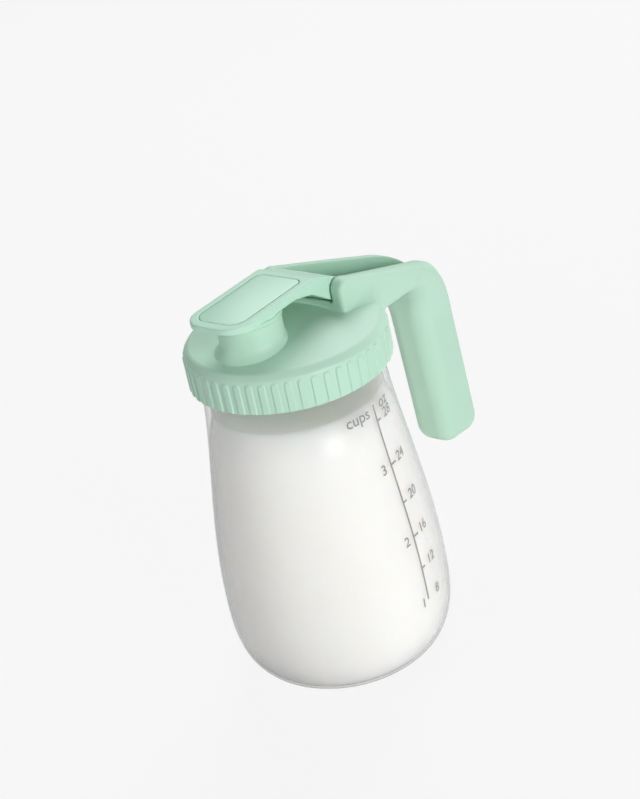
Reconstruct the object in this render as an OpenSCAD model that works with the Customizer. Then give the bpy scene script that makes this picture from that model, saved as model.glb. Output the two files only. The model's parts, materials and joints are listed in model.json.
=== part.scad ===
// Milk storage pitcher: a glass jar with a screw lid, a pouring spout under a flip cap and a hung grip.
// Millimetres, +Z up. The origin is the centre of the jar's base on the floor, the spout faces -X
// and the grip hangs on the +X side. The XZ plane is the mirror plane.

/* [Jar] */
// height of the glass from the floor to its rim
jar_h = 160; // [145:1:180]
// outer diameter of the glass where it is widest
jar_d = 103.8; // [98:0.2:112]
// height of the widest place above the floor
widest_z = 38; // [32:1:48]
// outer diameter of the neck
neck_d = 81.4; // [79:0.2:85]
// diameter of the base the jar stands on
base_d = 48; // [42:1:56]
// glass thickness of the wall
glass_t = 2.6; // [2:0.1:3.4]
// glass thickness of the bottom
bottom_t = 5; // [4:0.5:8]

/* [Lid] */
// how far the skirt reaches below the rim
skirt_drop = 11; // [9:0.5:13]
// radial room for the thread between neck and skirt
thread_room = 1.9; // [1.6:0.1:2.4]
// wall thickness of the skirt
skirt_t = 2.4; // [2:0.1:3]
// thickness of the lid's top
top_t = 2.5; // [2:0.1:3.2]
// rise of the deck from the lid's rim towards the middle, in degrees
deck_rise = 9.2; // [6:0.2:11]
// height of the rim above the skirt's lower edge
rim_rise = 18.2; // [17:0.1:20]
// thickness of the sealing ring between lid and rim
gasket_t = 1.8; // [1.4:0.1:2.4]
// number of grip ribs the skirt is divided for
ribs = 50; // [40:1:60]
// height of a rib above the skirt
rib_h = 0.5; // [0.3:0.05:0.7]

/* [Spout] */
// outer diameter of the spout
spout_d = 28.6; // [26:0.2:31]
// diameter of the pouring bore
bore_d = 23.6; // [20:0.2:24.4]
// distance of the spout's axis in front of the jar's axis
spout_x = 19.7; // [18:0.1:21]
// height of the spout's lip above the lid's rim
spout_h = 16.7; // [15:0.1:19]

/* [Flip cap] */
// width of the cap
cap_w = 31.8; // [29:0.2:33]
// thickness of the cap's plate
cap_t = 3.9; // [3.2:0.1:4.6]
// how far the cap reaches past the spout's wall at the front
cap_lip = 10.9; // [8:0.1:13]
// radius of the rounded corners at the cap's front
cap_corner = 13; // [8:0.5:14]
// width of the inlay plate let into the cap's top
inlay_w = 24; // [20:0.5:26]
// thickness of the inlay plate
inlay_t = 1; // [0.8:0.1:1.4]
// thickness of the silicone flange between cap and spout
flange_t = 1.3; // [1:0.1:1.8]

/* [Hinge] */
// distance of the hinge line behind the jar's axis
hinge_x = 20; // [18:0.5:23]
// radius of the cap's hinge barrel
barrel_r = 5.2; // [4.6:0.1:5.6]
// radius of the pins at the barrel's ends
pin_r = 2.6; // [2:0.1:3]
// how far a pin reaches into its cheek
pin_l = 3.2; // [2.4:0.1:3.8]

/* [Handle] */
// outer width over the two cheeks at the hinge
cheek_w = 45.4; // [44:0.2:50]
// fall of the arms' top edges towards the grip, in degrees
arm_fall = 19.6; // [16:0.2:22]
// distance from the jar's axis to the grip's middle, level with the skirt
grip_x = 93.4; // [90:0.2:102]
// outward lean of the grip, in degrees
grip_lean = 4.6; // [0:0.2:7]
// how far the grip reaches below the skirt
grip_drop = 90; // [75:1:105]
// width of the grip
grip_w = 23; // [20:0.5:26]
// depth of the grip from front to back
grip_d = 27.5; // [24:0.5:30]
// radius of the grip's long edges
grip_r = 8; // [6:0.5:9]

/* [Hidden] */
$fn = 96;

seam = 0.05;
play = 0.05;
r_max = jar_d / 2;
r_neck = neck_d / 2;
r_base = base_d / 2;
push_up = 1.2;
stand_w = 6;
rim_c = 0.6;
rim_z = jar_h;
skirt_z = rim_z - skirt_drop;
r_skirt_in = r_neck + thread_room;
r_skirt = r_skirt_in + skirt_t;
under_z = rim_z + gasket_t;
ring_z = skirt_z + rim_rise;
bevel_w = 3.6;
bevel_h = 3.4;
r_ring = r_skirt - bevel_w;
r_seat = r_neck - glass_t - 2.6;
lip_ring = 1.2;
flat_r = 6;
sunk = 0.4;
rib_foot = 0.7;
rib_top = ring_z - bevel_h - 0.4;
rib_r = (skirt_t + rib_h) / 2 - 0.1;
root_half = cheek_w / 2 - 2;
rib_gap = asin(root_half / r_skirt) + 1;

spout_r = spout_d / 2;
bore_r = bore_d / 2;
lip_z = ring_z + spout_h;
flare_r = spout_r + 4.4;
flare_h = 6;

cap_z = lip_z + flange_t;
cap_top = cap_z + cap_t;
cap_front = -(spout_x + spout_r + cap_lip);
cap_half = cap_w / 2;
hinge_z = lip_z - 5.4;
cap_rear = hinge_x - 11.5;
boss_r = 8;
boss_h = 3;
plug_h = 4.5;

slot_half = cap_half + 0.6;
nose_x = hinge_x - barrel_r + 1;
nose_r = 5;
nose_in_r = 4;
arm_narrow = 4.2;
top_edge = 2;
low_edge = 6;
back_bend = 42;
front_bend = 14;
slot_fall = 13;
slot_even = 8;
slot_end_half = 5;
slot_level_x = r_skirt + 1;
slot_deep = 7.5;
groove_steps = 10;
run_out = 0.5;
slot_z = hinge_z - barrel_r + 0.5;
arm_under = skirt_z + 5.5;
arm_wall = 7.4;
cover_t = 2.2;
cover_out = 3;
grip_wall = 5;
cover_half = 0.32 * grip_w;
pocket_half = cover_half - 1.5;

function mix(a, b, k) = a + (b - a) * k;
// Where the glass's outer radius lies at a height.
function swell(z) = pow(sin(90 * (skirt_z - z) / (skirt_z - widest_z)), 1.6);
function heel(q) = pow(1 - pow(q, 2.8), 1 / 2.8);
function glass_r(z) =
    z >= skirt_z ? r_neck
    : z >= widest_z ? r_neck + (r_max - r_neck) * swell(z)
    : r_base + (r_max - r_base) * heel((widest_z - z) / widest_z);
// The same for the inside, which keeps a thicker bottom.
function inner_r(z) =
    z >= widest_z ? glass_r(z) - glass_t
    : r_base - 2 + (r_max - glass_t - r_base + 2) * heel((widest_z - z) / (widest_z - bottom_t));

heel_steps = [for (i = [0 : 14]) 1 - cos(i * 90 / 14)];
wall_z = [for (i = [1 : 20]) mix(widest_z, skirt_z, i / 20)];

module glass_jar() {
    outer = concat(
        [for (z = heel_steps * widest_z) [glass_r(z), z]],
        [for (z = wall_z) [glass_r(z), z]]);
    inner = concat(
        [for (i = [len(wall_z) - 1 : -1 : 0]) [inner_r(wall_z[i]), wall_z[i]]],
        [for (i = [len(heel_steps) - 1 : -1 : 0])
            let (z = mix(bottom_t, widest_z, heel_steps[i])) [inner_r(z), z]]);
    rim_in = r_neck - glass_t;
    color([0.86, 0.92, 0.92, 0.35])
    rotate_extrude()
    polygon(concat(
        [[0, push_up], [r_base * 0.5, push_up * 0.85], [r_base - stand_w, 0]],
        outer,
        [[r_neck, rim_z - rim_c], [r_neck - rim_c, rim_z],
         [rim_in + rim_c, rim_z], [rim_in, rim_z - rim_c]],
        inner,
        [[0, bottom_t - 0.3]]));
}

module lid_gasket() {
    color([0.93, 0.95, 0.94])
    rotate_extrude()
    translate([r_neck - glass_t - 1, rim_z])
    square([glass_t + 1 + thread_room - 0.5, gasket_t]);
}

// Height of the deck at a radius.
function deck_z(r) = ring_z + (r_ring - r) * tan(deck_rise);
// Outline of the lid's shoulder and deck, grown by g where another moulding is seated on it.
function lid_edge(g) =
    [[r_skirt + g, ring_z - bevel_h], [r_skirt - 0.4 + g, ring_z - 0.74 * bevel_h],
     [r_skirt - 2.4 + g, ring_z - 0.2 * bevel_h + g], [r_ring, ring_z + g],
     [flat_r, deck_z(flat_r) + g], [0, deck_z(flat_r) + g]];

module spout() {
    foot_z = deck_z(spout_x + flare_r) - sunk;
    flare = [for (k = [0 : 0.2 : 1]) [mix(spout_r, flare_r, pow(1 - k, 1.6)), foot_z + flare_h * k]];
    translate([-spout_x, 0, 0])
    rotate_extrude()
    polygon(concat(
        [[0, under_z], [flare_r, under_z]],
        flare,
        [[spout_r, lip_z - 2.4], [spout_r + 0.6, lip_z - 1.7], [spout_r + 0.6, lip_z - 0.7],
         [spout_r, lip_z], [0, lip_z]]));
}

module rib(a) {
    rotate([0, 0, a])
    translate([r_skirt + rib_h - rib_r, 0, skirt_z + rib_foot])
    cylinder(r = rib_r, h = rib_top - skirt_z - rib_foot);
}

module screw_lid() {
    color([0.66, 0.86, 0.75])
    difference() {
        union() {
            rotate_extrude()
            polygon(concat(
                [[0, skirt_z], [r_skirt - 0.4, skirt_z], [r_skirt, skirt_z + 0.4]],
                lid_edge(0)));
            spout();
            for (i = [0 : ribs - 1])
                if (abs((i + 0.5) * 360 / ribs - 180) < 180 - rib_gap)
                    rib((i + 0.5) * 360 / ribs);
        }
        rotate_extrude()
        polygon([[0, skirt_z - 1], [r_skirt_in + 1.4, skirt_z - 1], [r_skirt_in, skirt_z + 0.4],
                 [r_skirt_in, under_z], [r_seat + lip_ring, under_z], [r_seat + lip_ring, under_z - 2.4],
                 [r_seat, under_z - 2.4], [r_seat, deck_z(r_seat) - top_t],
                 [flat_r, deck_z(flat_r) - top_t], [0, deck_z(flat_r) - top_t]]);
        translate([-spout_x, 0, under_z - 1])
        cylinder(r = bore_r, h = lip_z - under_z + 2);
    }
}

// Handle side view: the back edge and the front edge, as two lines each joined by an arc.
top_slope = tan(arm_fall);
lean = tan(grip_lean);
top_at = [hinge_x + 2.7, hinge_z + barrel_r - 0.2];
function top_z(x) = top_at[1] - (x - top_at[0]) * top_slope;
function back_x(z) = grip_x + grip_d / 2 + (skirt_z - z) * lean;
function front_x(z) = grip_x - grip_d / 2 + (skirt_z - z) * lean;
back_corner_z = top_z(back_x(0)) / (1 - top_slope * lean);
back_corner = [back_x(back_corner_z), back_corner_z];
front_slope = 0.09;
front_corner_z = (arm_under - (front_x(0) - r_skirt) * front_slope) / (1 - front_slope * lean);
front_corner = [front_x(front_corner_z), front_corner_z];
bend_steps = 12;
// Point k of n on the arc of radius r that joins two lines leaving a corner at angles a and b.
function bend(c, a, b, r, k, n) =
    let (turn = a - b, t = r * tan(turn / 2), s = [c[0] - t * cos(a), c[1] - t * sin(a)],
         m = [s[0] + r * sin(a), s[1] - r * cos(a)], w = a + 90 - turn * k / n)
    [m[0] + r * cos(w), m[1] + r * sin(w)];
function back_arc(k) = bend(back_corner, -arm_fall, grip_lean - 90, back_bend, k, bend_steps);
function front_arc(k) = bend(front_corner, -atan(front_slope), grip_lean - 90, front_bend, k, bend_steps);
grip_end = skirt_z - grip_drop;
end_r = 9;
end_tilt = 0.9;
// Nose of the cheeks: an arc between the upright front and the falling top edge.
nose_top = [nose_x, top_z(nose_x)];
function nose(k) = bend(nose_top, 90, -arm_fall, nose_r, k, 4);

// Each station: back point, front point, half width, radius of the back edges, radius of the front edges.
arm_end = cheek_w / 2 - arm_narrow;
function arm_half(x) = mix(cheek_w / 2, arm_end, min(1, max(0, (x - nose_x) / (back_arc(0)[0] - nose_x))));
// How far the cheeks' outer faces draw in towards their front edge.
function nose_in(x) =
    let (d = nose_in_r - min(nose_in_r, x - nose_x))
    0.8 * (nose_in_r - sqrt(nose_in_r * nose_in_r - d * d));
nose_stations = [for (k = [0 : 4])
    [nose(k), [nose(k)[0], arm_under + 2], arm_half(nose(k)[0]) - nose_in(nose(k)[0]), top_edge, low_edge]];
arm_from = nose(4);
arm_stations = [for (i = [1 : 9]) let (k = i / 10, b = mix(arm_from, back_arc(0), k),
        f = mix([arm_from[0], arm_under + 2], front_arc(0), k))
    [b, f, arm_half(b[0]), top_edge * (1 + k / 2), low_edge]];
bend_stations = [for (k = [0 : bend_steps])
    let (t = k / bend_steps)
    [back_arc(k), front_arc(k), mix(arm_end, grip_w / 2, min(1, 1.5 * t)),
     mix(top_edge * 1.5, grip_r, t), mix(low_edge, grip_r, t)]];
low = grip_end + end_r;
grip_stations = [for (i = [1 : 5]) let (k = i / 5)
    [mix(back_arc(bend_steps), [back_x(low), low], k), mix(front_arc(bend_steps), [front_x(low), low], k),
     grip_w / 2, grip_r, grip_r]];
end_stations = [for (a = [18 : 18 : 90]) let (d = end_r * (1 - cos(a)) * 0.8, z = low - end_r * sin(a))
    [[back_x(z) - d, z - end_tilt * sin(a)], [front_x(z) + d, z + end_tilt * sin(a)], grip_w / 2 - d,
     grip_r - d * 0.75, grip_r - d * 0.75]];
stations = concat(nose_stations, arm_stations, bend_stations, grip_stations, end_stations);
edge_steps = 5;
ring_n = 4 * (edge_steps + 1);
// Ring of points at a station: a rounded rectangle in the plane through its back and front points.
function ring(s) =
    let (l = norm(s[0] - s[1]), e = (s[0] - s[1]) / l, w = s[2])
    [for (q = [0 : 3]) for (j = [0 : edge_steps])
        let (a = 90 * q + 90 * j / edge_steps, at_back = q == 0 || q == 3, r = at_back ? s[3] : s[4],
             p = (at_back ? l - r : r) + r * cos(a),
             y = (q < 2 ? w - r : r - w) + r * sin(a))
        [s[1][0] + e[0] * p, y, s[1][1] + e[1] * p]];

module handle_solid() {
    n = len(stations);
    polyhedron(
        points = [for (s = stations) each ring(s)],
        faces = concat(
            [[for (j = [0 : ring_n - 1]) ring_n - 1 - j]],
            [for (i = [0 : n - 2]) for (j = [0 : ring_n - 1])
                each let (k = (j + 1) % ring_n, a = i * ring_n, b = a + ring_n)
                [[a + j, a + k, b + k], [a + j, b + k, b + j]]],
            [[for (j = [0 : ring_n - 1]) (n - 1) * ring_n + j]]));
}

// Frame along the grip's back face: +X outwards, Z along the grip, origin level with the skirt.
module at_back() {
    translate([grip_x + grip_d / 2, 0, skirt_z])
    rotate([0, -grip_lean, 0])
    children();
}

// Centres of the slot's round ends in that frame.
slot_hi = back_arc(bend_steps)[1] - skirt_z - 4 - cover_half;
slot_lo = end_r - grip_drop + 2 + cover_half;
module back_slot(half, depth, out) {
    at_back()
    translate([-depth, 0, 0])
    rotate([0, 90, 0])
    linear_extrude(height = depth + out) {
        translate([-slot_hi, -half])
        square([slot_hi - slot_lo, 2 * half]);
        for (z = [slot_lo, slot_hi])
            translate([-z, 0])
            circle(r = half);
    }
}

// Floor of the channel between the arms: it falls gently over the lid, then runs along the arms
// and out round the bend.
back_mid = back_arc(0) + back_bend * [-sin(arm_fall), -cos(arm_fall)];
function groove(k) =
    let (deep = slot_deep - (slot_deep + run_out) * pow(k / groove_steps, 2))
    mix(back_arc(k), back_mid, deep / back_bend);
slot_floor = concat(
    [[nose_x - grip_d, slot_z], [nose_x, slot_z],
     [slot_level_x, slot_z - (slot_level_x - nose_x) * tan(slot_fall)]],
    [for (k = [0 : groove_steps]) groove(k)]);
module channel() {
    start_x = nose_x - grip_d;
    out = groove(groove_steps);
    far_x = out[0] + grip_d;
    wide = arm_end - arm_wall;
    edge = [[start_x - 1, slot_half], [hinge_x + slot_even, slot_half], [back_arc(0)[0] + 2, wide],
            [far_x + 1, slot_end_half]];
    intersection() {
        translate([0, cheek_w / 2, 0])
        rotate([90, 0, 0])
        linear_extrude(height = cheek_w)
        polygon(concat(slot_floor, [[far_x, out[1]], [far_x, cap_top], [start_x, cap_top]]));
        translate([0, 0, grip_end])
        linear_extrude(height = cap_top)
        polygon(concat(
            edge,
            [for (i = [len(edge) - 1 : -1 : 0]) [edge[i][0], -edge[i][1]]]));
    }
}

module handle() {
    color([0.66, 0.86, 0.75])
    difference() {
        handle_solid();
        rotate_extrude()
        polygon(concat([[0, skirt_z - grip_d], [r_skirt + seam, skirt_z - grip_d]], lid_edge(seam)));
        channel();
        translate([hinge_x, 0, hinge_z])
        rotate([90, 0, 0])
        cylinder(r = pin_r + play, h = 2 * (slot_half + pin_l), center = true);
        back_slot(cover_half, cover_t, cover_out);
        back_slot(pocket_half, grip_d - grip_wall, cover_out);
    }
}

module grip_cover() {
    color([0.6, 0.81, 0.7])
    intersection() {
        back_slot(cover_half - seam, cover_t, cover_out);
        handle_solid();
    }
}

module cap_plan() {
    translate([cap_front + cap_corner, -cap_half])
    square([cap_rear - cap_front - cap_corner, cap_w]);
    translate([cap_front, cap_corner - cap_half])
    square([cap_corner + 1, cap_w - 2 * cap_corner]);
    for (s = [-1, 1])
        translate([cap_front + cap_corner, s * (cap_half - cap_corner)])
        circle(r = cap_corner);
}

inlay_front = cap_front + 5.2;
inlay_rear = cap_rear - 3.6;
inlay_front_r = 8;
inlay_rear_r = 3.5;
module inlay_plan(g) {
    half = inlay_w / 2;
    front = inlay_front + inlay_front_r;
    rear = inlay_rear - inlay_rear_r;
    translate([front, -half - g])
    square([rear - front, inlay_w + 2 * g]);
    translate([inlay_front - g, inlay_front_r - half])
    square([inlay_front_r + g + 1, inlay_w - 2 * inlay_front_r]);
    translate([rear - 1, inlay_rear_r - half])
    square([inlay_rear_r + g + 1, inlay_w - 2 * inlay_rear_r]);
    for (s = [-1, 1]) {
        translate([front, s * (half - inlay_front_r)])
        circle(r = inlay_front_r + g);
        translate([rear, s * (half - inlay_rear_r)])
        circle(r = inlay_rear_r + g);
    }
}

// The cap's underside: it rises to a thin lip at the front and falls behind the spout to a notch.
lip_rise = 1.2;
lip_run = 9;
lip_slope = lip_rise / lip_run;
fall_x = spout_r - spout_x + 0.2;
notch = [cap_rear - 3.1, cap_z - 2.9];

module flip_cap() {
    color([0.7, 0.89, 0.78])
    difference() {
        union() {
            translate([0, 0, cap_z])
            linear_extrude(height = cap_t)
            cap_plan();
            translate([0, cap_half, 0])
            rotate([90, 0, 0])
            linear_extrude(height = cap_w)
            polygon([[fall_x, cap_z], [fall_x, cap_top], [cap_rear, cap_top],
                     [hinge_x + barrel_r * cos(66), hinge_z + barrel_r * sin(66)], [hinge_x, hinge_z],
                     [hinge_x + barrel_r * cos(232), hinge_z + barrel_r * sin(232)], notch]);
            translate([hinge_x, 0, hinge_z])
            rotate([90, 0, 0])
            cylinder(r = barrel_r, h = cap_w, center = true);
            translate([hinge_x, 0, hinge_z])
            rotate([90, 0, 0])
            cylinder(r = pin_r, h = 2 * (slot_half + pin_l) - 0.4, center = true);
            translate([-spout_x, 0, cap_z - boss_h])
            cylinder(r = boss_r, h = boss_h + 1);
        }
        translate([0, 0, cap_top - inlay_t])
        linear_extrude(height = inlay_t + 1)
        inlay_plan(0.12);
        translate([0, cap_w, 0])
        rotate([90, 0, 0])
        linear_extrude(height = 2 * cap_w)
        polygon([[cap_front - 1, cap_z - 0.5], [cap_front - 1, cap_z + lip_rise + lip_slope],
                 [cap_front + lip_run + 0.5 / lip_slope, cap_z - 0.5]]);
    }
}

module cap_inlay() {
    color([0.71, 0.9, 0.79])
    translate([0, 0, cap_top - inlay_t])
    linear_extrude(height = inlay_t)
    inlay_plan(0);
}

module spout_seal() {
    color([0.82, 0.94, 0.87])
    translate([-spout_x, 0, 0])
    rotate_extrude()
    polygon([[0, lip_z - plug_h], [bore_r - 1.4, lip_z - plug_h], [bore_r - 0.4, lip_z], [spout_r, lip_z],
             [spout_r, cap_z], [boss_r + seam, cap_z], [boss_r + seam, cap_z - boss_h - seam],
             [0, cap_z - boss_h - seam]]);
}

glass_jar();
lid_gasket();
screw_lid();
handle();
grip_cover();
flip_cap();
cap_inlay();
spout_seal();
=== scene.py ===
"""Looks of a milk storage pitcher: a glass jar of milk, a mint screw lid, a flip cap and a grip.

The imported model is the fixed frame. Lengths here are millimetres, as on a drawing, and become metres
when a mesh is made. +Z is up, the spout faces -X, the grip hangs on the +X side, XZ is the mirror plane.
"""

import json
import logging
import math
from collections.abc import Callable, Sequence
from dataclasses import dataclass, field
from enum import Enum

import bpy
import numpy as np
from mathutils import Matrix, Vector


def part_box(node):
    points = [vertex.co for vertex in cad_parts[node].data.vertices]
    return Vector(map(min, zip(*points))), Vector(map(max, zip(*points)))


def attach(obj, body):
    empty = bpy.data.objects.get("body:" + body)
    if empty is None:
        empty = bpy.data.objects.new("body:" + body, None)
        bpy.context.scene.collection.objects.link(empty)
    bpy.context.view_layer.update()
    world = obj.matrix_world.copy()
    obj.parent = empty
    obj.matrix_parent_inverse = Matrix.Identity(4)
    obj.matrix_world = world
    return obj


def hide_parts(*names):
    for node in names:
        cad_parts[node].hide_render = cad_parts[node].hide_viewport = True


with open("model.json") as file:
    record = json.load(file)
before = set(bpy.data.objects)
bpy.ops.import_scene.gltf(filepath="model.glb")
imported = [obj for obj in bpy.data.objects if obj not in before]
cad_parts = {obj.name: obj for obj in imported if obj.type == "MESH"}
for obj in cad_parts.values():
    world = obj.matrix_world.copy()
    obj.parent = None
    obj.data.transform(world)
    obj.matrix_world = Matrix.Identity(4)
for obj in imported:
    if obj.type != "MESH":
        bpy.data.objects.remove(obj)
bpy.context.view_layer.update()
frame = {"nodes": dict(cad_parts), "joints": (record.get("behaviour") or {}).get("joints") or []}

MM = 0.001
TINY = 1e-6
FULL_TURN = 2 * math.pi
THREAD_LEAD = 6.0  # rise of the lid's thread in one turn
log = logging.getLogger("pitcher")

Array = np.ndarray
Mesh = tuple[Array, list]


class Body(Enum):
    """The bodies of the frame that pieces ride on."""

    JAR = "jar"
    LID = "lid"
    CAP = "cap"


class Slot(Enum):
    """The record's material slots that pieces of this script take."""

    GLASS = "glass"
    PLASTIC = "mint_plastic"
    SEAL = "silicone_seal"
    PRINT = "scale_print"
    MILK = "milk"


def linear(hex_code: str) -> tuple[float, float, float, float]:
    """Turns an sRGB hex colour into the linear colour that shaders take.

    Args:
        hex_code: a colour such as "#C6E9D4".
    Returns:
        Linear red, green, blue and an alpha of 1.
    """
    parts = [int(hex_code[i : i + 2], 16) / 255 for i in (1, 3, 5)]
    red, green, blue = [c / 12.92 if c <= 0.04045 else ((c + 0.055) / 1.055) ** 2.4 for c in parts]
    return red, green, blue, 1.0


def add_node(tree: bpy.types.NodeTree, kind: str, settings: dict | None = None,
             values: dict | None = None, links: dict | None = None) -> bpy.types.Node:
    """Adds one node to a tree.

    Args:
        tree: the node tree.
        kind: the node's Blender type name.
        settings: attributes of the node.
        values: input names or numbers and their values.
        links: input names or numbers and the output sockets that feed them.
    Returns:
        The new node.
    """
    node = tree.nodes.new(kind)
    for name, value in (settings or {}).items():
        setattr(node, name, value)
    for name, value in (values or {}).items():
        node.inputs[name].default_value = value
    for name, socket in (links or {}).items():
        tree.links.new(socket, node.inputs[name])
    return node


def empty_material(name: str) -> tuple[bpy.types.Material, bpy.types.NodeTree, bpy.types.Node]:
    """Makes a material with nothing but its output node.

    Args:
        name: the material's name.
    Returns:
        The material, its node tree and the output node.
    """
    material = bpy.data.materials.new(name)
    material.use_nodes = True
    tree = material.node_tree
    tree.nodes.clear()
    return material, tree, add_node(tree, "ShaderNodeOutputMaterial")


@dataclass(frozen=True)
class MouldedPolymer:
    """A moulded polymer, spark-textured by its mould: a satin skin with a broad soft sheen.

    The mould's grit is far under a pixel, so the grain is drawn as coarse as it needs to show.
    Slow clouds of tone stand for the melt's flow.
    """

    name: str
    colour: str
    cloud_colour: str
    roughness: float = 0.5
    ior: float = 1.49
    grain_mm: float = 0.5
    grain_depth_mm: float = 0.004
    satin_spread: float = 0.05
    cloud_mm: float = 40.0
    subsurface: float = 0.0
    subsurface_mm: float = 1.5

    def material(self) -> bpy.types.Material:
        """Builds the material.

        Returns:
            The new material.
        """
        material, tree, output = empty_material(self.name)
        place = add_node(tree, "ShaderNodeTexCoord").outputs["Object"]
        clouds = add_node(tree, "ShaderNodeTexNoise",
                          values={"Scale": 1 / (self.cloud_mm * MM), "Detail": 2.0},
                          links={"Vector": place})
        tone = add_node(tree, "ShaderNodeMix", {"data_type": "RGBA"},
                        {6: linear(self.colour), 7: linear(self.cloud_colour)},
                        {0: clouds.outputs["Fac"]})
        grain = add_node(tree, "ShaderNodeTexNoise",
                         values={"Scale": 1 / (self.grain_mm * MM), "Detail": 3.0},
                         links={"Vector": place})
        satin = add_node(tree, "ShaderNodeMapRange",
                         values={"To Min": self.roughness - self.satin_spread,
                                 "To Max": self.roughness + self.satin_spread},
                         links={"Value": grain.outputs["Fac"]})
        bump = add_node(tree, "ShaderNodeBump",
                        values={"Strength": 1.0, "Distance": self.grain_depth_mm * MM},
                        links={"Height": grain.outputs["Fac"]})
        shader = add_node(tree, "ShaderNodeBsdfPrincipled",
                          values={"IOR": self.ior, "Subsurface Weight": self.subsurface,
                                  "Subsurface Scale": self.subsurface_mm * MM},
                          links={"Base Color": tone.outputs[2], "Roughness": satin.outputs[0],
                                 "Normal": bump.outputs[0]})
        tree.links.new(shader.outputs[0], output.inputs["Surface"])
        return material


@dataclass(frozen=True)
class BlownGlass:
    """Clear borosilicate glass, blown and fire-polished: no grain, only slow waves in reflections.

    It shows what is behind it, greyer at its outline, where the eye looks along the wall: partly the
    longer path through the glass, partly painted shade that stands for the dark outline that bent light
    gives, since this glass lets light through unbent. It mirrors the room at a glancing angle. The two
    shares of mirror are what is added at the outline and what shows everywhere.
    """

    name: str = "borosilicate_glass_blown"
    tint: str = "#FEFEFE"
    edge_tint_and_painted_shade: str = "#B4BABA"
    edge_power: float = 5.0
    mirror: tuple[float, float] = (0.9, 0.035)
    roughness: float = 0.02
    ior: float = 1.47
    wave_mm: float = 30.0
    wave_depth_mm: float = 0.02

    def material(self) -> bpy.types.Material:
        """Builds the material.

        Returns:
            The new material.
        """
        material, tree, output = empty_material(self.name)
        place = add_node(tree, "ShaderNodeTexCoord").outputs["Object"]
        waves = add_node(tree, "ShaderNodeTexNoise",
                         values={"Scale": 1 / (self.wave_mm * MM), "Detail": 1.0},
                         links={"Vector": place})
        bump = add_node(tree, "ShaderNodeBump", values={"Distance": self.wave_depth_mm * MM},
                        links={"Height": waves.outputs["Fac"]})
        # The grey towards the outline is partly the longer path through the wall and partly painted shade.
        facing = add_node(tree, "ShaderNodeLayerWeight", values={"Blend": 0.5})
        edge = add_node(tree, "ShaderNodeMath", {"operation": "POWER"}, {1: self.edge_power},
                        {0: facing.outputs["Facing"]})
        tone = add_node(tree, "ShaderNodeMix", {"data_type": "RGBA"},
                        {6: linear(self.tint), 7: linear(self.edge_tint_and_painted_shade)}, {0: edge.outputs[0]})
        clear = add_node(tree, "ShaderNodeBsdfTransparent", links={"Color": tone.outputs[2]})
        gloss = add_node(tree, "ShaderNodeBsdfPrincipled",
                         values={"Base Color": linear(self.tint), "Roughness": self.roughness,
                                 "IOR": self.ior},
                         links={"Normal": bump.outputs[0]})
        mirror = add_node(tree, "ShaderNodeMath", {"operation": "MULTIPLY_ADD"},
                          {1: self.mirror[0], 2: self.mirror[1]}, {0: edge.outputs[0]})
        mixed = add_node(tree, "ShaderNodeMixShader",
                         links={0: mirror.outputs[0], 1: clear.outputs[0], 2: gloss.outputs[0]})
        tree.links.new(mixed.outputs[0], output.inputs["Surface"])
        return material


@dataclass(frozen=True)
class FreshMilk:
    """Milk: a warm white liquid that light soaks into, red deepest, uneven where cream gathers."""

    name: str = "milk_fresh"
    colour: str = "#FFF9F5"
    cream: str = "#FEF6F0"
    roughness: float = 0.3
    ior: float = 1.35
    cream_mm: float = 24.0
    depth_mm: float = 28.0
    depth_shares: tuple[float, float, float] = (1.0, 0.9, 0.8)

    def material(self) -> bpy.types.Material:
        """Builds the material.

        Returns:
            The new material.
        """
        material, tree, output = empty_material(self.name)
        place = add_node(tree, "ShaderNodeTexCoord").outputs["Object"]
        cream = add_node(tree, "ShaderNodeTexNoise",
                         values={"Scale": 1 / (self.cream_mm * MM), "Detail": 3.0},
                         links={"Vector": place})
        tone = add_node(tree, "ShaderNodeMix", {"data_type": "RGBA"},
                        {6: linear(self.colour), 7: linear(self.cream)}, {0: cream.outputs["Fac"]})
        shader = add_node(tree, "ShaderNodeBsdfPrincipled",
                          values={"Roughness": self.roughness, "IOR": self.ior,
                                  "Subsurface Weight": 1.0, "Subsurface Scale": self.depth_mm * MM,
                                  "Subsurface Radius": self.depth_shares},
                          links={"Base Color": tone.outputs[2]})
        tree.links.new(shader.outputs[0], output.inputs["Surface"])
        return material


@dataclass(frozen=True)
class CeramicPrint:
    """Grey ceramic ink, screen-printed and fired: matt, with the faint mottle of the screen's mesh.

    The mesh is finer than a pixel, so its mottle is drawn as coarse as it needs to show.
    """

    name: str = "ceramic_ink_screen_printed"
    colour: str = "#8E8E8B"
    thin: str = "#9C9C99"
    roughness: float = 0.55
    mottle_mm: float = 0.6

    def material(self) -> bpy.types.Material:
        """Builds the material.

        Returns:
            The new material.
        """
        material, tree, output = empty_material(self.name)
        place = add_node(tree, "ShaderNodeTexCoord").outputs["Object"]
        mottle = add_node(tree, "ShaderNodeTexNoise", values={"Scale": 1 / (self.mottle_mm * MM)},
                          links={"Vector": place})
        tone = add_node(tree, "ShaderNodeMix", {"data_type": "RGBA"},
                        {6: linear(self.colour), 7: linear(self.thin)}, {0: mottle.outputs["Fac"]})
        shader = add_node(tree, "ShaderNodeBsdfPrincipled", values={"Roughness": self.roughness},
                          links={"Base Color": tone.outputs[2]})
        tree.links.new(shader.outputs[0], output.inputs["Surface"])
        return material


def box_mm(node: str) -> tuple[Vector, Vector]:
    """Gives a node's lowest and highest corners at rest, in millimetres."""
    low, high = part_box(node)
    return low / MM, high / MM


def joint_mm(name: str) -> Vector:
    """Gives the place of a joint's axis at rest, in millimetres."""
    return Vector(next(j["pos_m"] for j in frame["joints"] if j["name"] == name)) / MM


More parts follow.
